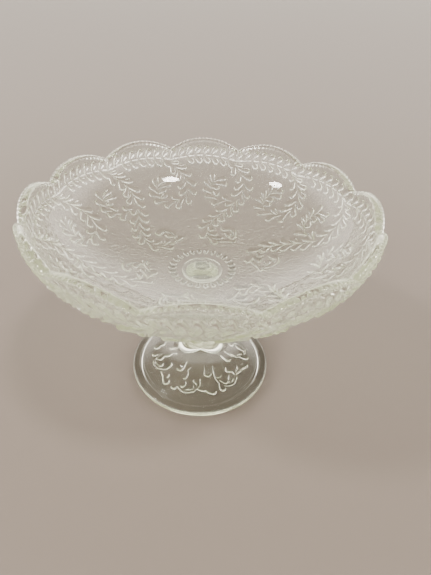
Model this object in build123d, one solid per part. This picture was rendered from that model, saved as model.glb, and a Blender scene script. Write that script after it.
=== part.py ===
"""Footed bowl of clear pressed glass: a scalloped bowl, a joining wafer and a stemmed foot.

Millimetres, +Z up, origin on the table under the middle of the foot. The three pieces meet
face to face on flat seats, the way the hot pressings are stuck together.
"""

import os
from math import pi, sin

from build123d import *

# Driving dimensions
RIM_RADIUS = 87.5
TIP_HEIGHT = 120.0
SCALLOPS = 12
SCALLOP_DEPTH = 6.3
WALL = 4.0
FLOOR_THICKNESS = 5.0
WAFER_RADIUS = 11.4
WAFER_THICKNESS = 3.0
SEAT_RADIUS = 12.0
STEM_LENGTH = 69.5
NECK_RADIUS = 9.1
WAIST_RADIUS = 8.2
WAIST_HEIGHT = 38.0
FOOT_RADIUS = 44.0
FOOT_EDGE = 3.8
RAYS = 26

# The bowl's side is a superellipse: steep at the rim and nearly flat on the bottom
SIDE_POWER = 2.5
HEIGHT_POWER = 2.0
SIDE_POINTS = 7
STRAIGHT_RIM = 1.0

# The sunburst ring under the bowl
RAY_INNER = 14.8
RAY_OUTER = 19.0
RAY_THICKNESS = 1.7

# The joining wafer's rounded edge
WAFER_ROUNDING = 0.8

# The foot's plain border and the small step up to its dome
BORDER_INNER = 37.5
BORDER_RISE = 0.7
STEP_HEIGHT = 0.5
STEP_RUN = 0.5
FOOT_ROUNDING = 1.4

# The dome sweeps up into the stem through these (radius, height) points
DOME_POINTS = [(24.0, 8.6), (13.5, 17.0)]

# The ring the foot stands on and the shallow hollow inside it
SEAT_INNER = 38.5
SEAT_ROUNDING = 0.6
HOLLOW_HEIGHT = 15.0
HOLLOW_POINTS = [(8.0, 9.5), (20.0, 4.2)]
HOLLOW_EDGE = (37.0, 1.2)

BOWL_BASE = STEM_LENGTH + WAFER_THICKNESS
SECTOR = 360 / SCALLOPS


def side_height(radius, rim_radius, base, top):
    """Height of the superellipse side at a radius."""
    level = (1 - (radius / rim_radius) ** SIDE_POWER) ** (1 / HEIGHT_POWER)
    return top - (top - base) * level


def side_lines(rim_radius, base, flat_radius):
    """The side from its flat middle to just under the rim, then straight up to the tips."""
    shoulder = TIP_HEIGHT - STRAIGHT_RIM
    points = [(flat_radius, base)]
    for step in range(1, SIDE_POINTS):
        share = sin(pi / 2 * step / SIDE_POINTS)
        radius = flat_radius + (rim_radius - flat_radius) * share
        points.append((radius, side_height(radius, rim_radius, base, shoulder)))
    points.append((rim_radius, shoulder))
    side = Spline(*points, tangents=((1, 0), (0, 1)))
    return [side, Line(points[-1], (rim_radius, TIP_HEIGHT))]


def revolve_profile(lines):
    """One solid of revolution about Z from a closed outline of radius and height."""
    return revolve(Plane.XZ * make_face(lines), axis=Axis.Z)


def scallop_cutter(number):
    """What is taken off above one rounded scallop: a wedge less the drum that shapes its top."""
    chord = 2 * RIM_RADIUS * sin(pi / SCALLOPS)
    drum_radius = chord**2 / (8 * SCALLOP_DEPTH) + SCALLOP_DEPTH / 2
    reach = RIM_RADIUS * 1.2
    wedge_base = TIP_HEIGHT - 2 * SCALLOP_DEPTH
    outline = Polyline(
        (0, 0),
        Vector(reach, 0).rotate(Axis.Z, -SECTOR / 2),
        Vector(reach, 0).rotate(Axis.Z, SECTOR / 2),
        close=True,
    )
    wedge = Pos(0, 0, wedge_base) * extrude(make_face(outline), 3 * SCALLOP_DEPTH)
    drum = Pos(reach / 2, 0, TIP_HEIGHT - drum_radius) * Rot(0, 90, 0)
    drum = drum * Cylinder(drum_radius, 2 * reach)
    return Rot(0, 0, 90 + number * SECTOR) * (wedge - drum)


def sunburst_ray(number):
    """One short rounded ray of the ring under the bowl."""
    middle = (RAY_INNER + RAY_OUTER) / 2
    height = side_height(middle, RIM_RADIUS, BOWL_BASE, TIP_HEIGHT - STRAIGHT_RIM)
    length = RAY_OUTER - RAY_INNER - RAY_THICKNESS
    ray = Rot(0, 90, 0) * Cylinder(RAY_THICKNESS / 2, length)
    ray += Pos(length / 2, 0, 0) * Sphere(RAY_THICKNESS / 2)
    ray += Pos(-length / 2, 0, 0) * Sphere(RAY_THICKNESS / 2)
    return Rot(0, 0, number * 360 / RAYS) * Pos(middle, 0, height) * ray


def bowl():
    """The deep bowl: even wall, twelve scallops on the rim and a ring of rays underneath."""
    inner_base = BOWL_BASE + FLOOR_THICKNESS
    inner_radius = RIM_RADIUS - WALL
    outline = [
        Line((0, BOWL_BASE), (SEAT_RADIUS, BOWL_BASE)),
        *side_lines(RIM_RADIUS, BOWL_BASE, SEAT_RADIUS),
        Line((RIM_RADIUS, TIP_HEIGHT), (inner_radius, TIP_HEIGHT)),
        *side_lines(inner_radius, inner_base, SEAT_RADIUS),
        Line((SEAT_RADIUS, inner_base), (0, inner_base)),
        Line((0, inner_base), (0, BOWL_BASE)),
    ]
    body = revolve_profile(outline)
    for number in range(RAYS):
        body += sunburst_ray(number)
    for number in range(SCALLOPS):
        body -= scallop_cutter(number)
    return body


def joining_wafer():
    """The flat button of glass that sticks the bowl to the stem."""
    button = Pos(0, 0, STEM_LENGTH + WAFER_THICKNESS / 2) * Cylinder(WAFER_RADIUS, WAFER_THICKNESS)
    return fillet(button.edges().filter_by(GeomType.CIRCLE), WAFER_ROUNDING)


def foot():
    """The round foot and its waisted stem, pressed as one piece and hollow underneath."""
    border_top = FOOT_EDGE + BORDER_RISE
    dome_start = (BORDER_INNER - STEP_RUN, border_top + STEP_HEIGHT)
    dome = Spline(
        dome_start,
        *DOME_POINTS,
        (WAIST_RADIUS, WAIST_HEIGHT),
        (NECK_RADIUS, STEM_LENGTH),
        tangents=((-1, 0.12), (0.12, 1)),
    )
    hollow = Spline((0, HOLLOW_HEIGHT), *HOLLOW_POINTS, HOLLOW_EDGE, tangents=((1, 0), (1, -0.1)))
    outline = [
        Line((0, HOLLOW_HEIGHT), (0, STEM_LENGTH)),
        Line((0, STEM_LENGTH), dome @ 1),
        dome,
        Line(dome_start, (BORDER_INNER, border_top)),
        Line((BORDER_INNER, border_top), (FOOT_RADIUS - FOOT_ROUNDING, FOOT_EDGE)),
        RadiusArc(
            (FOOT_RADIUS - FOOT_ROUNDING, FOOT_EDGE),
            (FOOT_RADIUS, FOOT_EDGE - FOOT_ROUNDING),
            FOOT_ROUNDING,
        ),
        Line((FOOT_RADIUS, FOOT_EDGE - FOOT_ROUNDING), (FOOT_RADIUS, SEAT_ROUNDING)),
        RadiusArc((FOOT_RADIUS, SEAT_ROUNDING), (FOOT_RADIUS - SEAT_ROUNDING, 0), SEAT_ROUNDING),
        Line((FOOT_RADIUS - SEAT_ROUNDING, 0), (SEAT_INNER, 0)),
        Line((SEAT_INNER, 0), hollow @ 1),
        hollow,
    ]
    return revolve_profile(outline)


def main():
    """Write one STEP per piece."""
    os.makedirs("parts", exist_ok=True)
    pieces = {"bowl": bowl(), "joining_wafer": joining_wafer(), "foot": foot()}
    for name, solid in pieces.items():
        export_step(solid, f"parts/{name}.step")


main()
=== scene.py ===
"""Looks of a footed bowl of clear pressed glass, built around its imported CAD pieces.

Each piece of glass is one closed mesh, woven from rings. The pattern is relief on the outside of the bowl
and under the foot: a leafy vine, branches and scrolls that repeat six times, a beaded edge and rays.
Lengths inside the pattern code are millimetres, measured along the glass from its middle.
"""

import math

import bpy
import numpy as np
from mathutils import Matrix, Vector


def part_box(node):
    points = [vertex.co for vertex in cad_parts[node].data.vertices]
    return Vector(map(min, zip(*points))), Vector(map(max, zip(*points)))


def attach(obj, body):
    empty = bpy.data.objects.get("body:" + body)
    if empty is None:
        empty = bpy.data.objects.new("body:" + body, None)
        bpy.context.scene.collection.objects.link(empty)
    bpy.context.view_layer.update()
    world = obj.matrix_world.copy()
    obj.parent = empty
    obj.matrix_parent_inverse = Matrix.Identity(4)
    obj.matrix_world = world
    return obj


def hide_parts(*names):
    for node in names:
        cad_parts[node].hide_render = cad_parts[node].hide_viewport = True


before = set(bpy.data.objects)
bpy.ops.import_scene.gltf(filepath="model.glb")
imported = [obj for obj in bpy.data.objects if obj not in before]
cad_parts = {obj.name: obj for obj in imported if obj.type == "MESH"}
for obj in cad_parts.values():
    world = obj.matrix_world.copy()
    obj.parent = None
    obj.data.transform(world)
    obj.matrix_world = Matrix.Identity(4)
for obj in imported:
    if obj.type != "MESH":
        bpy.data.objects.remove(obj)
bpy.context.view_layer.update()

bl_info = {
    "name": "Pressed Glass Footed Bowl",
    "version": (1, 0, 0),
    "blender": (4, 5, 0),
    "location": "View3D > Sidebar > Glassware",
    "description": "Builds a patterned footed bowl around its fixed solids",
    "category": "Add Mesh",
}

MM = 0.001
BOWL_LOW, BOWL_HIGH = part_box("bowl")
WAFER_LOW, WAFER_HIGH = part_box("joining_wafer")
FOOT_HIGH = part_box("foot")[1]

# Sizes of the solids, in millimetres
RIM_RADIUS = round(BOWL_HIGH.x / MM, 1)
TIP_HEIGHT = round(BOWL_HIGH.z / MM, 1)
BOWL_BASE = round(WAFER_HIGH.z / MM, 1)
WAFER_BASE = round(WAFER_LOW.z / MM, 1)
WAFER_RADIUS = round(WAFER_HIGH.x / MM, 1)
FOOT_RADIUS = round(FOOT_HIGH.x / MM, 1)

FOLDS = 6  # how many times the branches repeat
WALLS_END, TOP_STARTS = 0.38, 0.66  # sines of the heights where the light tent fades
WARM = (1, 0.945, 0.87)  # colour of the light
JOINT_GAP = 0.01  # between the stuck faces, so that no two faces lie in one plane
SIDE_POWER = 2.5  # of the superellipse that the bowl's side follows
STRAIGHT_RIM = 1.0  # height over which the side is upright
LIP = 1.7  # height of the rounded edge
RAYS_END = 19.6  # from the middle of the bowl's underside, where the ground starts
BEAD_BAND = 2.2  # below the lip, kept free of ground
LEAF_EDGE = 0.2  # height at which a leaf has taken over from the ground
FOOT_GROUND = (11, 36.3)  # radii between which the foot's underside has a ground


# ---------------------------------------------------------------- settings


def number(name, about, value, low=0.0):
    """A setting that is a plain number."""
    return bpy.props.FloatProperty(name=name, description=about, default=value, min=low)


def whole(name, about, value, low=0):
    """A setting that is a whole number."""
    return bpy.props.IntProperty(name=name, description=about, default=value, min=low)


def colour(name, about, value):
    """A setting that is a colour."""
    return bpy.props.FloatVectorProperty(
        name=name, description=about, subtype="COLOR", size=3, default=value
    )


class BowlSettings(bpy.types.PropertyGroup):
    """Sizes of the bowl and of its pattern."""

    scallops: whole("Scallops", "Rounded lobes of the rim, two to each branch", 12, 6)
    scallop_depth: number("Scallop Depth", "From tip to notch, in mm", 6.3)
    wall: number("Wall", "Thickness at the rim, in mm", 4.0, 1)
    floor: number("Floor", "Thickness in the middle, in mm", 5.0, 1)
    relief: number("Relief", "Height of the leaves, in mm", 1.35)
    beads: whole("Beads", "Beads on each scallop", 18)
    rays: whole("Rays", "Rays in the ring under the bowl", 26, 3)
    stipple: number("Stipple", "Height of the rough ground, in mm", 0.17)
    pebble: number("Pebble", "Size of the ground's bumps, in mm", 0.8, 0.3)
    grain: number("Mesh Grain", "Spacing of the mesh, in mm", 0.34, 0.2)


class FootSettings(bpy.types.PropertyGroup):
    """Sizes of the foot and its stem."""

    edge: number("Edge", "Thickness of the foot's edge, in mm", 3.8, 1)
    border: number("Border", "Inner radius of the plain border, in mm", 37.5)
    neck: number("Neck", "Radius of the stem's top, in mm", 9.1)
    waist: number("Waist", "Smallest radius of the stem, in mm", 8.2)
    relief: number("Relief", "Height of the scrolls, in mm", 1.3)
    stipple: number("Stipple", "Height of the rough ground, in mm", 0.13)
    pebble: number("Pebble", "Size of the ground's bumps, in mm", 0.7, 0.3)


class GlassSettings(bpy.types.PropertyGroup):
    """The glass itself."""

    ior: number("IOR", "Index of refraction", 1.52, 1)
    tint: colour("Tint", "Colour of thick glass", (0.80, 0.825, 0.68))
    depth: number("Depth", "Strength of the tint, per metre", 26.0)
    gloss: number("Gloss", "Roughness of the polished side", 0.03)
    satin: number("Satin", "Roughness added by the mould", 0.06)
    matt: number("Ground", "Roughness added on the ground", 0.05)
    # at this many inner reflections the glass glows with a painted emission
    bounces: whole("Bounces", "Inner reflections before light counts as trapped", 4)


class StageSettings(bpy.types.PropertyGroup):
    """Floor, light and camera."""

    floor_colour: colour("Floor", "Colour of the floor", (0.27, 0.228, 0.198))
    wall_light: number("Wall Light", "Brightness low around", 3.3)
    top_light: number("Top Light", "Brightness from above", 0.25)
    lamp: number("Lamps", "Power of the two ceiling lamps, in W", 7.0)
    lens: number("Lens", "Focal length, in mm", 26.0, 10)


# ---------------------------------------------------------------- relief


def turned(points, degrees):
    """Points of the flat pattern turned clockwise about its middle."""
    a = math.radians(degrees)
    x, y = points[..., 0], points[..., 1]
    return np.stack([x * math.cos(a) + y * math.sin(a), y * math.cos(a) - x * math.sin(a)], -1)


def smooth_line(points, count):
    """A Catmull-Rom curve through the points, as count points at even steps along it."""
    p = np.array(points, float)
    p = np.vstack([2 * p[0] - p[1], p, 2 * p[-1] - p[-2]])
    t = np.linspace(0, 1, 24, endpoint=False)[:, None]
    parts = []
    for a, b, c, d in zip(p, p[1:], p[2:], p[3:]):
        squared, cubed = 2 * a - 5 * b + 4 * c - d, 3 * b - a - 3 * c + d
        parts.append(0.5 * (2 * b + (c - a) * t + squared * t**2 + cubed * t**3))
    dense = np.vstack(parts + [p[-2:-1]])
    run = np.concatenate([[0], np.cumsum(np.hypot(*np.diff(dense, axis=0).T))])
    even = np.linspace(0, run[-1], count)
    return np.stack([np.interp(even, run, dense[:, k]) for k in (0, 1)], -1)


class Relief:
    """Heights over the flattened glass: x to the right and y away from the middle, on square cells."""

    def __init__(self, reach, cell):
        self.reach = reach
        self.cell = cell
        side = int(2 * reach / cell) + 2
        self.heights = np.zeros((side, side))

    def roughen(self, rng):
        """Fills the cells with a fine random grain between about -1 and 1."""
        grain = rng.uniform(-1, 1, self.heights.shape)
        for axis in (0, 1):
            grain = grain + 0.5 * (np.roll(grain, 1, axis) + np.roll(grain, -1, axis))
        self.heights = grain / np.abs(grain).max() * 1.6
        return self

    def stroke(self, line, widths, tops, edge=0.55):
        """Raises a rounded ridge along a line, with a half-width and a height at each of its points.

        A small edge makes steep sides, and an edge of 1 makes soft ones.
        """
        margin = widths.max() + 2 * self.cell
        low = np.floor((line.min(0) - margin + self.reach) / self.cell).astype(int)
        high = np.ceil((line.max(0) + margin + self.reach) / self.cell).astype(int)
        xs = np.arange(low[0], high[0]) * self.cell - self.reach
        ys = np.arange(low[1], high[1]) * self.cell - self.reach
        gap = np.hypot(xs[None, :, None] - line[:, 0], ys[:, None, None] - line[:, 1]) / widths
        near = gap.argmin(-1)
        rise = tops[near] * np.clip(1 - gap.min(-1) ** 2, 0, 1) ** edge
        part = self.heights[low[1] : high[1], low[0] : high[0]]
        np.maximum(part, rise, out=part)

    def at(self, x, y):
        """Height at points, between cells."""
        u = (x + self.reach) / self.cell
        v = (y + self.reach) / self.cell
        i, j = np.floor(u).astype(int), np.floor(v).astype(int)
        fu, fv = u - i, v - j
        h = self.heights
        top = h[j, i] * (1 - fu) + h[j, i + 1] * fu
        return top * (1 - fv) + (h[j + 1, i] * (1 - fu) + h[j + 1, i + 1] * fu) * fv


class Pattern:
    """Draws leaves and stems into a relief, repeated round the middle."""

    def __init__(self, relief, height, turn, folds):
        self.relief = relief
        self.height = height
        self.turns = [turn + k * 360 / folds for k in range(folds)]

    def stroke(self, line, widths, tops, edge=0.55):
        for turn in self.turns:
            self.relief.stroke(turned(line, turn), widths, tops * self.height, edge)

    def leaf(self, root, head, bend=0.15, size=2.0):
        """A comma leaf: thin at its root, round at its head, bowed to its right by a share of its length."""
        root, head = np.array(root, float), np.array(head, float)
        along = head - root
        middle = root + 0.45 * along + bend * np.array([along[1], -along[0]])
        t = np.linspace(0, 1, 22)[:, None]
        line = (1 - t) ** 2 * root + 2 * t * (1 - t) * middle + t**2 * head
        t = t[:, 0]
        self.stroke(line, size * (0.2 + 0.8 * t**0.8), 0.45 + 0.55 * t)

    def leaves(self, rows, bend):
        """Leaves from rows of root x, y and head x, y, some with a size."""
        for x0, y0, x1, y1, *size in rows:
            self.leaf((x0, y0), (x1, y1), bend, *size)

    def stem(self, points, width=0.5, top=0.5):
        line = smooth_line(points, 80)
        self.stroke(line, np.full(len(line), width), np.full(len(line), top), 1)

    def curl(self, points, width, size):
        """A stem that swells into a round head."""
        line = smooth_line(points, 50)
        t = np.linspace(0, 1, len(line))
        self.stroke(line, width + (size - width) * t**2.2, 0.6 + 0.4 * t)


# A long branch, in the flat pattern with its notch straight up the y axis: a stem from the vine down to a
# scroll. Leaves are root x, y and head x, y; those on its left bow one way and those on its right the other.
BRANCH_STEM = (
    (-5, 96), (-2, 94), (2, 90.5), (5.2, 86.6), (7.2, 82.6), (8, 78.5), (7.6, 74), (6.3, 70), (4.2, 65.8),
    (2, 62), (-0.6, 58.8), (-2.9, 55.2), (-5, 51.4), (-6.8, 47.4), (-8, 43.4), (-8.4, 39.6), (-7.6, 36),
    (-5.8, 32.8), (-3, 30.2), (0.6, 28.9), (4.2, 29.3),
)
BRANCH_LEFT = (
    (-2.6, 95.2, 3.6, 94, 1.4), (0.5, 93, 9, 90.7, 1.8), (4, 89.4, 11.8, 85.5, 1.8), (7, 84.4, 13.1, 78.3),
    (8, 79, 12.1, 72.3), (7.8, 73.6, 9, 66.7), (5, 67.6, 6.3, 60.1), (2.3, 61.8, 2.8, 55.5),
    (-1, 56.6, -0.7, 49.9), (-4.2, 51.2, -3.6, 45.1), (-6.9, 43.6, -5.4, 39.5, 1.9),
    (-7.4, 36.8, -1.8, 35.6, 1.6), (-5.6, 31.8, 2.4, 33.1, 1.7), (9.4, 32.8, 6.5, 37, 1.8),
)
BRANCH_RIGHT = (
    (-3, 95, -1.3, 88.1), (3.2, 90, 3.2, 83.3), (7.3, 83.2, 3.2, 78), (7.7, 77.6, 2.4, 72.8),
    (5.4, 68.4, -0.3, 64.3, 1.8), (1.2, 61.8, -5, 58.3), (-2, 57.3, -7.7, 52.7), (-5, 51.6, -11.2, 47),
    (-7.3, 46.4, -12, 40.7), (-8.4, 39.4, -8.6, 31.6, 2.2), (-5.8, 32.4, 0, 27.4, 2.1),
    (0.4, 28.6, 11.3, 31, 1.5),
)
BRANCH_CURL = ((4, 29.3), (7.8, 30.9), (10.2, 34.4), (10.3, 38.4), (8.6, 41.6), (5.7, 42.7), (3, 41.9))
SPRIG_STEM = (
    (5.2, 67.8), (0, 66.6), (-5, 66.3), (-9.5, 67), (-12.8, 69.3), (-14.6, 72.5), (-15, 76), (-14.3, 79.5),
)
SPRIG_LEFT = (
    (-3, 66.4, -9.4, 63), (-8.5, 67.2, -15.7, 67.7), (-13.4, 70.6, -18.3, 72.3), (-15, 74.6, -18.9, 78),
    (-14.8, 78.6, -16, 83.1),
)
SPRIG_RIGHT = (
    (4.4, 68, -3.3, 69.2, 1.8), (-12.8, 72.8, -9.7, 70.9, 1.8), (-14.6, 75, -10.7, 75.8, 1.8),
    (-14.4, 77.6, -5.8, 79.3, 1.7), (-14.2, 79.6, -7.3, 83.4, 1.7),
)
# A short branch curls round into its own sprig
CURL_STEM = (
    (-5, 96), (-2, 94), (1, 91.4), (4.2, 88.4), (6.6, 84.5), (8.2, 80.3), (8.6, 76), (7.6, 71.6), (5, 68.2),
    (1, 66.3), (-4, 65.9), (-8.2, 66.2), (-11.3, 68), (-13.2, 71.3), (-13.6, 75), (-12.8, 78.6),
)
CURL_LEFT = (
    (-2.6, 95.2, 3.6, 94, 1.4), (0.5, 92.6, 8.6, 90.5, 1.8), (4, 89.2, 11.2, 84.9, 1.8),
    (7.3, 84.3, 13, 77.7), (8.8, 78, 12, 71.1), (7.9, 72.8, 6.7, 64.3), (4.2, 67.8, -1.3, 61.3),
    (-2.5, 66, -8.8, 62.4), (-9.2, 66.5, -15.2, 65.8, 1.9), (-12.4, 69.6, -18, 71.4),
    (-13.6, 72.4, -17.3, 77), (-13.7, 75.5, -14.9, 81.5, 1.8), (-13, 78, -10.9, 83.6, 1.7),
)
CURL_RIGHT = (
    (-3, 95, -0.4, 88.1), (3.6, 88.8, 2.6, 83), (7.9, 81.6, 3.2, 77), (8.5, 76.8, 2.8, 71.8),
    (3, 67, -2.8, 69, 1.8), (-11.5, 68.4, -9, 70.8, 1.8), (-13.3, 72.4, -9.3, 74.8, 1.8),
    (-13.4, 75.6, -5.3, 78.9, 1.7), (-12.9, 78.2, -6.6, 82.8, 1.7),
)


def draw_vine(pattern, scallops):
    """The vine under the rim: it arches under each scallop and dips at each notch."""
    half = math.pi / scallops
    low, high = 96.3, 99.3

    def along(share, out=0.0):
        reach = low + (high - low) * abs(math.sin(math.pi * share)) ** 0.8 + out
        return reach * math.sin(2 * half * share), reach * math.cos(2 * half * share)

    pattern.stem([along(share) for share in np.linspace(-0.04, 1.04, 12)], 0.55, 0.6)
    for k in range(8):
        root, head = (k - 0.2) / 8, (k + 0.25) / 8
        pattern.leaf(along(root), along(head, 4.1), -0.15, 1.95)
        if k > 1:
            pattern.leaf(along(root), along(head + 0.02, -4.1), 0.15, 1.95)


def draw_bowl_pattern(relief, settings):
    """All that is raised on the bowl's mould side, but its ground and beads."""
    step = 360 / settings.scallops
    draw_vine(Pattern(relief, settings.relief, step / 2, settings.scallops), settings.scallops)
    long = Pattern(relief, settings.relief, step / 2, FOLDS)
    short = Pattern(relief, settings.relief, -step / 2, FOLDS)
    for stem in (BRANCH_STEM, SPRIG_STEM):
        long.stem(stem)
    for rows, bend in ((BRANCH_LEFT, 0.15), (BRANCH_RIGHT, -0.15), (SPRIG_LEFT, 0.15), (SPRIG_RIGHT, -0.15)):
        long.leaves(rows, bend)
    long.curl(BRANCH_CURL, 0.9, 2.2)
    short.stem(CURL_STEM)
    for rows, bend in ((CURL_LEFT, 0.15), (CURL_RIGHT, -0.15)):
        short.leaves(rows, bend)
    rays = Pattern(relief, settings.relief, 180 / settings.rays, settings.rays)
    ray = np.linspace((0, 15.7), (0, 17.7), 10)
    rays.stroke(ray, np.linspace(0.8, 1.35, 10), np.ones(10))


# One scroll of the foot, in the flat pattern of its underside
SCROLL_STEM = ((-6, -12.5), (-9.5, -15.5), (-12.6, -20), (-12.8, -25), (-8.8, -28.7), (-3.8, -28.2))
SCROLL_CURL = ((-3.8, -28.2), (-0.9, -24.8), (-1.8, -21.4))
SCROLL_LEFT = (
    (-1.6, -26.6, 4.3, -26.6, 2.1), (1, -25.2, 8.2, -28.4, 2.1), (-12.6, -22, -15.4, -25, 2.0),
)
SCROLL_RIGHT = (
    (-8, -13.6, -9.6, -18.2, 2.2), (-12.4, -18.6, -10.4, -23.8, 2.3), (-10.4, -28, -5.4, -26, 2.2),
)


def draw_foot_pattern(relief, height):
    """Six leafy scrolls round the foot, and a leaf beside each at the stem."""
    pattern = Pattern(relief, height, 0, FOLDS)
    pattern.stem(SCROLL_STEM, 0.8, 0.7)
    pattern.curl(SCROLL_CURL, 0.9, 2.3)
    pattern.leaves(SCROLL_RIGHT, -0.2)
    pattern.leaves(SCROLL_LEFT, 0.2)
    pattern.leaf((3.2, -11), (4.6, -16.4), 0, 2.4)


# ---------------------------------------------------------------- meshes


def ring_count(radius, grain, most):
    """How many points a ring of this radius gets: most, halved while the spacing allows it."""
    count = most
    while count > 54 and count % 2 == 0 and 2 * math.pi * radius / (count / 2) < 1.35 * grain:
        count //= 2
    return count


def angles(count):
    return np.arange(count) * 2 * math.pi / count


def weave(rings):
    """Faces between rings of points that follow each other.

    A ring is a single point, or has as many points as its neighbour, half as many or twice as many.
    """
    faces, start = [], 0
    for a, b in zip(rings, rings[1:]):
        n, m = len(a), len(b)
        i = np.arange(max(n, m)) if min(n, m) == 1 else np.arange(min(n, m))
        size = len(i)
        nxt = (i + 1) % size
        first, second = start, start + n
        if n == 1:
            faces += np.stack([np.full(m, first), second + i, second + nxt], -1).tolist()
        elif m == 1:
            faces += np.stack([first + nxt, first + i, np.full(n, second)], -1).tolist()
        elif n == m:
            faces += np.stack([first + i, second + i, second + nxt, first + nxt], -1).tolist()
        elif m == 2 * n:
            mid, end = 2 * i + 1, (2 * i + 2) % m
            faces += np.stack([first + i, second + 2 * i, second + mid], -1).tolist()
            faces += np.stack([first + i, second + mid, first + nxt], -1).tolist()
            faces += np.stack([first + nxt, second + mid, second + end], -1).tolist()
        elif n == 2 * m:
            mid, end = 2 * i + 1, (2 * i + 2) % n
            faces += np.stack([first + 2 * i, second + i, first + mid], -1).tolist()
            faces += np.stack([first + mid, second + i, second + nxt], -1).tolist()
            faces += np.stack([first + mid, second + nxt, first + end], -1).tolist()
        else:
            raise ValueError(f"rings of {n} and {m} points can't be woven")
        start += n
    return faces


def make_piece(name, rings, masks, slots, node):
    """A closed smooth mesh from its rings, with masks for the side that the mould shaped and its ground."""
    mesh = bpy.data.meshes.new(name)
    points = np.vstack(rings) * MM
    mesh.from_pydata(points, [], weave(rings))
    mesh.validate()
    mesh.shade_smooth()
    for label, values in masks.items():
        mask = mesh.attributes.new(label, "FLOAT", "POINT")
        mask.data.foreach_set("value", np.concatenate(values).astype(np.float32))
    piece = bpy.data.objects.new(name, mesh)
    bpy.context.scene.collection.objects.link(piece)
    for material in slots:
        mesh.materials.append(material)
    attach(piece, "root")
    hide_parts(node)
    return piece


class Side:
    """One side of the bowl's wall: a superellipse, then straight up, read by arc length or height."""

    def __init__(self, radius, base, top):
        r = radius * np.sin(np.linspace(0, math.pi / 2, 6000))
        shoulder = top - STRAIGHT_RIM
        z = shoulder - (shoulder - base) * np.sqrt(np.clip(1 - (r / radius) ** SIDE_POWER, 0, 1))
        self.r = np.append(r, radius)
        self.z = np.append(z, top)
        self.s = np.concatenate([[0], np.cumsum(np.hypot(np.diff(self.r), np.diff(self.z)))])

    def at(self, s):
        """Radius, height and outward normal (its radial and upward parts) at an arc length."""
        r, z = np.interp(s, self.s, self.r), np.interp(s, self.s, self.z)
        h = 0.3
        dr = np.interp(s + h, self.s, self.r) - np.interp(s - h, self.s, self.r)
        dz = np.interp(s + h, self.s, self.z) - np.interp(s - h, self.s, self.z)
        size = np.hypot(dr, dz)
        return r, z, dz / size, -dr / size

    def length_to(self, z):
        return np.interp(z, self.z, self.s)


def place_ring(r, z, turn):
    """A ring in space: turn is clockwise from the back, as in the flat pattern."""
    return np.stack([r * np.sin(turn), r * np.cos(turn), np.broadcast_to(z, np.shape(turn))], -1)


def rim_height(turn, settings):
    """Height of the scalloped edge, each scallop the arc of a drum that lies across the rim."""
    half = math.pi / settings.scallops
    chord = 2 * RIM_RADIUS * math.sin(half)
    drum = chord**2 / (8 * settings.scallop_depth) + settings.scallop_depth / 2
    local = (turn + half) % (2 * half) - half
    return TIP_HEIGHT - drum + np.sqrt(drum**2 - (RIM_RADIUS * np.sin(local)) ** 2)


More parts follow.
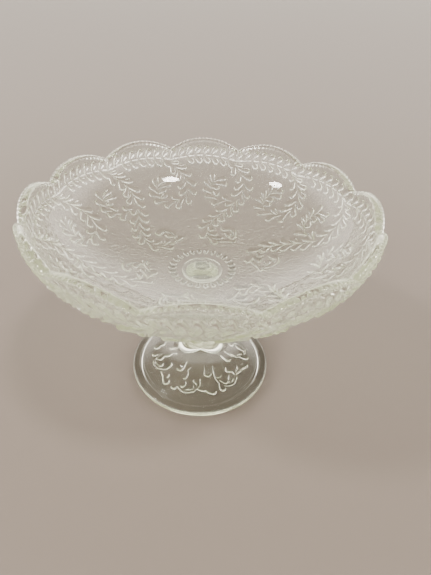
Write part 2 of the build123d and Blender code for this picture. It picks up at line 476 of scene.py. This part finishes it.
def bowl_rings(settings):
    """The bowl's rings from under its middle, up the patterned outside, over the lip and down inside."""
    rng = np.random.default_rng(7)
    outer = Side(RIM_RADIUS, BOWL_BASE + JOINT_GAP, TIP_HEIGHT)
    inner = Side(RIM_RADIUS - settings.wall, BOWL_BASE + settings.floor, TIP_HEIGHT)
    relief = Relief(RIM_RADIUS * 1.3, 0.12)
    draw_bowl_pattern(relief, settings)
    grain = Relief(RIM_RADIUS * 1.3, settings.pebble / 2).roughen(rng)
    most = settings.scallops * round(2 * math.pi * RIM_RADIUS / settings.scallops / settings.grain / 8) * 8
    seat = WAFER_RADIUS + 2.1
    rings, ground, mould = [np.array([[0, 0, BOWL_BASE + JOINT_GAP]])], [np.zeros(1)], [np.ones(1)]
    free = outer.length_to(TIP_HEIGHT - settings.scallop_depth) - 10
    below = np.arange(2.0, free, settings.grain)
    rows = int((outer.length_to(TIP_HEIGHT - LIP) - free) / settings.grain)
    pitch = 360 / settings.scallops / settings.beads
    for number in range(len(below) + rows):
        rising = number >= len(below)
        s0 = free if rising else below[number]
        count = ring_count(outer.at(s0)[0], settings.grain, most)
        turn = angles(count)
        edge = rim_height(turn, settings)
        last = outer.length_to(edge - LIP)
        s = free + (last - free) * (number - len(below) + 1) / rows if rising else np.full(count, s0)
        r, z, nr, nz = outer.at(s)
        rise = relief.at(s * np.sin(turn), s * np.cos(turn))
        rough = np.clip(1 - rise / LEAF_EDGE, 0, 1) * np.clip(s - RAYS_END, 0, 1)
        rough = rough * np.clip(last - BEAD_BAND - s, 0, 1)
        rise = rise + settings.stipple * rough * grain.at(s * np.sin(turn), s * np.cos(turn))
        rise = rise + bead_rise(turn, s - last, r, pitch)
        rise = np.where(s < seat, 0, rise)
        rings.append(place_ring(r + nr * rise, z + nz * rise, turn))
        ground.append(rough)
        mould.append(np.ones(count))
    turn = angles(most)
    edge = rim_height(turn, settings)
    r_out = outer.at(outer.length_to(edge - LIP))[0]
    r_in = inner.at(inner.length_to(edge - LIP))[0]
    middle, half = (r_out + r_in) / 2, (r_out - r_in) / 2
    for phi in np.linspace(0, math.pi, 13)[1:-1]:
        across, up = math.cos(phi), math.sin(phi) ** 0.8
        bulge = bead_rise(turn, phi * LIP * 1.1, r_out, pitch)
        r = middle + (half + bulge) * across
        rings.append(place_ring(r, edge - LIP + (LIP + bulge) * up, turn))
        ground.append(np.zeros(most))
        mould.append(np.full(most, 1 - phi / math.pi))
    steps = np.concatenate([np.linspace(0, 0.09, 10), np.linspace(0.09, 1, 64)[1:-1]])
    for share in steps:
        top = float(inner.length_to(TIP_HEIGHT - LIP))
        count = ring_count(inner.at(top * (1 - share))[0], 1.3, most)
        if len(rings[-1]) > 2 * count:
            count = len(rings[-1]) // 2
        turn = angles(count)
        s = inner.length_to(rim_height(turn, settings) - LIP) * (1 - share)
        r, z, _, _ = inner.at(s)
        rings.append(place_ring(r, z, turn))
        ground.append(np.zeros(count))
        mould.append(np.zeros(count))
    rings.append(np.array([[0, 0, BOWL_BASE + settings.floor]]))
    ground.append(np.zeros(1))
    mould.append(np.zeros(1))
    return rings, {"mould": mould, "ground": ground}


def bead_rise(turn, above, radius, pitch):
    """How far a row of beads on the shoulder of the rim stands out; above is mm past the straight wall."""
    size, centre, height = 1.25, 0.4, 0.95
    local = (np.degrees(turn) % pitch) - pitch / 2
    gap = np.hypot(np.radians(local) * radius, above - centre) / size
    return height * np.sqrt(np.clip(1 - gap**2, 0, 1))


def foot_rings(settings, spacing):
    """The foot's rings from inside its patterned hollow, round the edge, over the top and up the stem."""
    rng = np.random.default_rng(11)
    relief = Relief(FOOT_RADIUS + 3, 0.1)
    draw_foot_pattern(relief, settings.relief)
    grain = Relief(FOOT_RADIUS + 3, settings.pebble / 2).roughen(rng)
    hollow = [(0, 15), (8, 9.5), (20, 4.2), (35, 1.5), (37.6, 0.7), (38.5, 0)]
    hollow = smooth_line(hollow, int(42 / spacing))
    top = settings.edge
    edge = [(43.4, 0), (43.85, 0.2), (44, 0.6), (44, top - 1.4)]
    edge += [(43.9, top - 0.9), (43.6, top - 0.4), (43.1, top - 0.1)]
    border = smooth_line([(42.6, top), (40, top + 0.35), (settings.border, top + 0.7)], 14)
    dome = [(settings.border - 0.3, top + 0.9), (settings.border - 0.7, top + 1.2), (31, 6.9), (24, 8.6)]
    dome += [(18, 11.6), (13.5, 17), (10.4, 25), (settings.waist, 38), (settings.waist, 50)]
    dome.append((settings.neck, WAFER_BASE - JOINT_GAP))
    dome = smooth_line(dome, 150)
    line = np.vstack([hollow[1:], edge, border, dome])
    normals = np.gradient(line, axis=0)
    normals = np.stack([normals[:, 1], -normals[:, 0]], -1) / np.hypot(*normals.T)[:, None]
    rings, ground, mould = [np.array([[0, 0, hollow[0, 1]]])], [np.zeros(1)], [np.zeros(1)]
    for number, ((r, z), (nr, nz)) in enumerate(zip(line, normals)):
        patterned = number < len(hollow) - 1
        count = ring_count(r, spacing if patterned else 0.9, 816)
        if len(rings[-1]) > 1:
            count = min(max(count, len(rings[-1]) // 2), 2 * len(rings[-1]))
        turn = angles(count)
        x, y = r * np.sin(turn), r * np.cos(turn)
        rise = relief.at(x, y) if patterned else np.zeros(count)
        rough = np.clip(1 - rise / LEAF_EDGE, 0, 1) * np.clip((r - FOOT_GROUND[0]) / 3, 0, 1)
        rough = rough * np.clip(FOOT_GROUND[1] - r, 0, 1) * patterned
        rise = rise + settings.stipple * rough * grain.at(x, y)
        rings.append(place_ring(r + nr * rise, z + nz * rise, turn))
        ground.append(rough)
        mould.append(np.full(count, float(number >= len(hollow))))
    rings.append(np.array([[0, 0, WAFER_BASE - JOINT_GAP]]))
    ground.append(np.zeros(1))
    mould.append(np.ones(1))
    return rings, {"mould": mould, "ground": ground}


def wafer_rings():
    """The joining wafer's rings, rounded on its edge."""
    low, high, round_ = WAFER_BASE + JOINT_GAP, BOWL_BASE - JOINT_GAP, 0.8
    line = [(0, low), (5, low), (WAFER_RADIUS - round_, low)]
    quarter = np.linspace(0, math.pi / 2, 6)
    for a in quarter[1:]:
        line.append((WAFER_RADIUS - round_ + round_ * math.sin(a), low + round_ - round_ * math.cos(a)))
    for a in quarter:
        line.append((WAFER_RADIUS - round_ + round_ * math.cos(a), high - round_ + round_ * math.sin(a)))
    line += [(5, high), (0, high)]
    turn = angles(144)
    rings = [place_ring(np.full(len(turn), r), z, turn) if r else np.array([[0, 0, z]]) for r, z in line]
    return rings, {"mould": [np.ones(len(ring)) for ring in rings]}


# ---------------------------------------------------------------- materials


def new_group(name, inputs, outputs):
    """An empty shader node group with named sockets: (name, socket type, default)."""
    group = bpy.data.node_groups.new(name, "ShaderNodeTree")
    for label, kind, default in inputs:
        socket = group.interface.new_socket(label, in_out="INPUT", socket_type=kind)
        if default is not None:
            socket.default_value = default
    for label, kind in outputs:
        group.interface.new_socket(label, in_out="OUTPUT", socket_type=kind)
    return group, group.nodes.new("NodeGroupInput"), group.nodes.new("NodeGroupOutput")


def math_node(tree, operation, a, b):
    """A math node; a and b are sockets or numbers."""
    node = tree.nodes.new("ShaderNodeMath")
    node.operation = operation
    for socket, value in zip(node.inputs, (a, b)):
        if isinstance(value, (int, float)):
            socket.default_value = value
        else:
            tree.links.new(value, socket)
    return node.outputs[0]


def stipple_group():
    """Height of a fine stippled ground, like the punched face of a mould."""
    group, given, result = new_group(
        "Stippled Ground",
        [("Grain", "NodeSocketFloat", 1500.0), ("Ground", "NodeSocketFloat", 1.0)],
        [("Height", "NodeSocketFloat")],
    )
    place = group.nodes.new("ShaderNodeTexCoord")
    dots = group.nodes.new("ShaderNodeTexVoronoi")
    dots.feature = "SMOOTH_F1"
    dots.inputs["Smoothness"].default_value = 0.4
    group.links.new(place.outputs["Object"], dots.inputs["Vector"])
    group.links.new(given.outputs["Grain"], dots.inputs["Scale"])
    drop = math_node(group, "SUBTRACT", 1.0, dots.outputs["Distance"])
    group.links.new(math_node(group, "MULTIPLY", drop, given.outputs["Ground"]), result.inputs["Height"])
    return group


def wear_group():
    """Roughness of glass that is washed and handled: clean, with faint hazy patches."""
    group, given, result = new_group(
        "Handled Glass",
        [
            ("Clean", "NodeSocketFloat", 0.03),
            ("Haze", "NodeSocketFloat", 0.02),
            ("Size", "NodeSocketFloat", 40.0),
        ],
        [("Roughness", "NodeSocketFloat"), ("Waviness", "NodeSocketFloat")],
    )
    place = group.nodes.new("ShaderNodeTexCoord")
    cloud = group.nodes.new("ShaderNodeTexNoise")
    cloud.inputs["Detail"].default_value = 4
    group.links.new(place.outputs["Object"], cloud.inputs["Vector"])
    group.links.new(given.outputs["Size"], cloud.inputs["Scale"])
    patch = group.nodes.new("ShaderNodeMapRange")
    patch.inputs["From Min"].default_value = 0.5
    patch.inputs["From Max"].default_value = 0.8
    group.links.new(cloud.outputs["Fac"], patch.inputs["Value"])
    haze = math_node(group, "MULTIPLY", patch.outputs["Result"], given.outputs["Haze"])
    group.links.new(math_node(group, "ADD", haze, given.outputs["Clean"]), result.inputs["Roughness"])
    group.links.new(cloud.outputs["Fac"], result.inputs["Waviness"])
    return group


def painted_glow_colour(tint):
    """Painted glow: the emission colour that stands in for light past the last inner reflection, half the
    tent's mean, brighter than real glass.
    """
    stage = bpy.context.scene.glass_stage
    tent = stage.top_light + (stage.wall_light - stage.top_light) * (WALLS_END + TOP_STARTS) / 2
    return [0.5 * tent * light * colour**0.5 for light, colour in zip(WARM, tint)]


def glass_material(settings, stipple, wear):
    """Clear pressed glass: stippled where the ground mask says, greenish where it is thick, and glowing with
    a painted emission at the set number of inner reflections.
    """
    material = bpy.data.materials.new("Pressed Glass")
    material.use_nodes = True
    tree = material.node_tree
    shader = tree.nodes["Principled BSDF"]
    shader.inputs["Base Color"].default_value = (0.985, 1.0, 0.985, 1)
    shader.inputs["Transmission Weight"].default_value = 1
    shader.inputs["IOR"].default_value = settings.ior
    handled = tree.nodes.new("ShaderNodeGroup")
    handled.node_tree = wear
    handled.inputs["Clean"].default_value = settings.gloss
    ground = tree.nodes.new("ShaderNodeAttribute")
    ground.attribute_name = "ground"
    mould = tree.nodes.new("ShaderNodeAttribute")
    mould.attribute_name = "mould"
    satin = math_node(tree, "MULTIPLY", mould.outputs["Fac"], settings.satin)
    matt = math_node(tree, "MULTIPLY", ground.outputs["Fac"], settings.matt)
    total = math_node(tree, "ADD", math_node(tree, "ADD", satin, matt), handled.outputs["Roughness"])
    tree.links.new(total, shader.inputs["Roughness"])
    dots = tree.nodes.new("ShaderNodeGroup")
    dots.node_tree = stipple
    tree.links.new(ground.outputs["Fac"], dots.inputs["Ground"])
    bump = tree.nodes.new("ShaderNodeBump")
    bump.inputs["Strength"].default_value = 0.6
    bump.inputs["Distance"].default_value = 0.12 * MM
    tree.links.new(dots.outputs["Height"], bump.inputs["Height"])
    waves = tree.nodes.new("ShaderNodeBump")
    waves.inputs["Strength"].default_value = 0.1
    waves.inputs["Distance"].default_value = 0.5 * MM
    tree.links.new(handled.outputs["Waviness"], waves.inputs["Height"])
    tree.links.new(bump.outputs["Normal"], waves.inputs["Normal"])
    tree.links.new(waves.outputs["Normal"], shader.inputs["Normal"])
    # Painted glow: at the set number of inner reflections the glass emits a fixed warm light in place of the
    # light that would still come through.
    path = tree.nodes.new("ShaderNodeLightPath")
    spent = math_node(tree, "COMPARE", path.outputs["Glossy Depth"], settings.bounces)
    trapped = tree.nodes.new("ShaderNodeVectorMath")
    trapped.operation = "SCALE"
    trapped.inputs[0].default_value = painted_glow_colour(settings.tint)
    tree.links.new(spent, trapped.inputs["Scale"])
    tree.links.new(trapped.outputs[0], shader.inputs["Emission Color"])
    shader.inputs["Emission Strength"].default_value = 1
    tint = tree.nodes.new("ShaderNodeVolumeAbsorption")
    tint.inputs["Color"].default_value = (*settings.tint, 1)
    tint.inputs["Density"].default_value = settings.depth
    tree.links.new(tint.outputs["Volume"], tree.nodes["Material Output"].inputs["Volume"])
    return material


def floor_material(colour):
    """A plain pale matt floor."""
    material = bpy.data.materials.new("Pale Floor")
    material.use_nodes = True
    shader = material.node_tree.nodes["Principled BSDF"]
    shader.inputs["Base Color"].default_value = (*colour, 1)
    shader.inputs["Roughness"].default_value = 0.55
    return material


def glass():
    """The one glass material, made when a piece first needs it."""
    known = bpy.data.materials.get("Pressed Glass")
    return known or glass_material(bpy.context.scene.glass, stipple_group(), wear_group())


# ---------------------------------------------------------------- stage


def area_light(name, power, size, heading, height, distance, colour=(1, 1, 1)):
    """A round lamp that faces the bowl, at a heading clockwise from the back and an angle of height."""
    light = bpy.data.lights.new(name, "AREA")
    light.shape = "DISK"
    light.energy = power
    light.size = size
    light.color = colour
    lamp = bpy.data.objects.new(name, light)
    bpy.context.scene.collection.objects.link(lamp)
    heading, height = math.radians(heading), math.radians(height)
    flat = math.cos(height)
    away = Vector((math.sin(heading) * flat, math.cos(heading) * flat, math.sin(height)))
    lamp.location = (BOWL_LOW + BOWL_HIGH) / 2 + distance * away
    lamp.rotation_euler = (-away).to_track_quat("-Z", "Y").to_euler()


def light_tent(settings):
    """Soft light from all round: bright walls low down that fade into a dim top."""
    world = bpy.data.worlds.new("Light Tent")
    world.use_nodes = True
    tree = world.node_tree
    place = tree.nodes.new("ShaderNodeTexCoord")
    split = tree.nodes.new("ShaderNodeSeparateXYZ")
    tree.links.new(place.outputs["Generated"], split.inputs["Vector"])
    fade = tree.nodes.new("ShaderNodeMapRange")
    fade.interpolation_type = "SMOOTHSTEP"
    fade.inputs["From Min"].default_value = WALLS_END
    fade.inputs["From Max"].default_value = TOP_STARTS
    fade.inputs["To Min"].default_value = settings.wall_light
    fade.inputs["To Max"].default_value = settings.top_light
    tree.links.new(split.outputs["Z"], fade.inputs["Value"])
    tree.links.new(fade.outputs["Result"], tree.nodes["Background"].inputs["Strength"])
    tree.nodes["Background"].inputs["Color"].default_value = (*WARM, 1)
    return world


def make_camera(lens):
    """The camera stands close in front of the bowl and looks down into it, a little rolled."""
    camera = bpy.data.objects.new("Camera", bpy.data.cameras.new("Camera"))
    bpy.context.scene.collection.objects.link(camera)
    camera.data.lens = lens
    camera.data.sensor_width = 36
    camera.data.clip_start = 0.005
    down, roll, heading = math.radians(37.4), math.radians(2.68), math.radians(2.34)
    place = Matrix.Translation((0.0001, -0.1916, 0.2084))
    aim = Matrix.Rotation(-heading, 4, "Z") @ Matrix.Rotation(math.pi / 2 - down, 4, "X")
    camera.matrix_world = place @ aim @ Matrix.Rotation(roll, 4, "Z")
    bpy.context.scene.camera = camera


# ---------------------------------------------------------------- operators


class GLASSWARE_OT_bowl(bpy.types.Operator):
    """Make the scalloped bowl with its leafy pattern"""

    bl_idname = "glassware.bowl"
    bl_label = "Bowl"

    def execute(self, context):
        make_piece("patterned_bowl", *bowl_rings(context.scene.glass_bowl), [glass()], "bowl")
        return {"FINISHED"}


class GLASSWARE_OT_wafer(bpy.types.Operator):
    """Make the wafer that joins bowl and stem"""

    bl_idname = "glassware.wafer"
    bl_label = "Joining Wafer"

    def execute(self, context):
        make_piece("wafer", *wafer_rings(), [glass()], "joining_wafer")
        return {"FINISHED"}


class GLASSWARE_OT_foot(bpy.types.Operator):
    """Make the stem and the foot with its scrolls"""

    bl_idname = "glassware.foot"
    bl_label = "Foot"

    def execute(self, context):
        rings, masks = foot_rings(context.scene.glass_foot, context.scene.glass_bowl.grain)
        make_piece("stemmed_foot", rings, masks, [glass()], "foot")
        return {"FINISHED"}


class GLASSWARE_OT_stage(bpy.types.Operator):
    """Make the pale floor, the lights and the camera"""

    bl_idname = "glassware.stage"
    bl_label = "Stage"

    def execute(self, context):
        settings = context.scene.glass_stage
        mesh = bpy.data.meshes.new("Floor")
        mesh.from_pydata([(-9, -9, 0), (9, -9, 0), (9, 9, 0), (-9, 9, 0)], [], [(0, 1, 2, 3)])
        mesh.materials.append(floor_material(settings.floor_colour))
        floor = bpy.data.objects.new("Floor", mesh)
        floor.location.z = -0.00005
        context.scene.collection.objects.link(floor)
        context.scene.world = light_tent(settings)
        context.scene.view_settings.look = "AgX - Medium High Contrast"
        area_light("Lamp Right", settings.lamp, 0.22, 130, 67, 1.5, (1, 0.96, 0.9))
        area_light("Lamp Left", settings.lamp, 0.22, -101, 50, 1.5, (1, 0.96, 0.9))
        make_camera(settings.lens)
        return {"FINISHED"}


class GLASSWARE_PT_panel(bpy.types.Panel):
    """Sidebar panel of the glassware tools"""

    bl_label = "Pressed Glass Bowl"
    bl_idname = "GLASSWARE_PT_panel"
    bl_space_type = "VIEW_3D"
    bl_region_type = "UI"
    bl_category = "Glassware"

    def draw(self, context):
        for title, name, operators in PANEL_ROWS:
            box = self.layout.box()
            box.label(text=title)
            settings = getattr(context.scene, name)
            for prop in settings.__annotations__:
                box.prop(settings, prop)
            for operator in operators:
                box.operator(operator)


PANEL_ROWS = (
    ("Bowl", "glass_bowl", ("glassware.bowl", "glassware.wafer")),
    ("Foot", "glass_foot", ("glassware.foot",)),
    ("Glass", "glass", ()),
    ("Stage", "glass_stage", ("glassware.stage",)),
)
SETTINGS = {
    "glass_bowl": BowlSettings,
    "glass_foot": FootSettings,
    "glass": GlassSettings,
    "glass_stage": StageSettings,
}
CLASSES = (
    *SETTINGS.values(),
    GLASSWARE_OT_bowl,
    GLASSWARE_OT_wafer,
    GLASSWARE_OT_foot,
    GLASSWARE_OT_stage,
    GLASSWARE_PT_panel,
)


def register():
    for cls in CLASSES:
        bpy.utils.register_class(cls)
    for name, cls in SETTINGS.items():
        setattr(bpy.types.Scene, name, bpy.props.PointerProperty(type=cls))


def unregister():
    for name in SETTINGS:
        delattr(bpy.types.Scene, name)
    for cls in reversed(CLASSES):
        bpy.utils.unregister_class(cls)


def main():
    register()
    bpy.ops.glassware.bowl()
    bpy.ops.glassware.wafer()
    bpy.ops.glassware.foot()
    bpy.ops.glassware.stage()


if __name__ == "__main__":
    main()
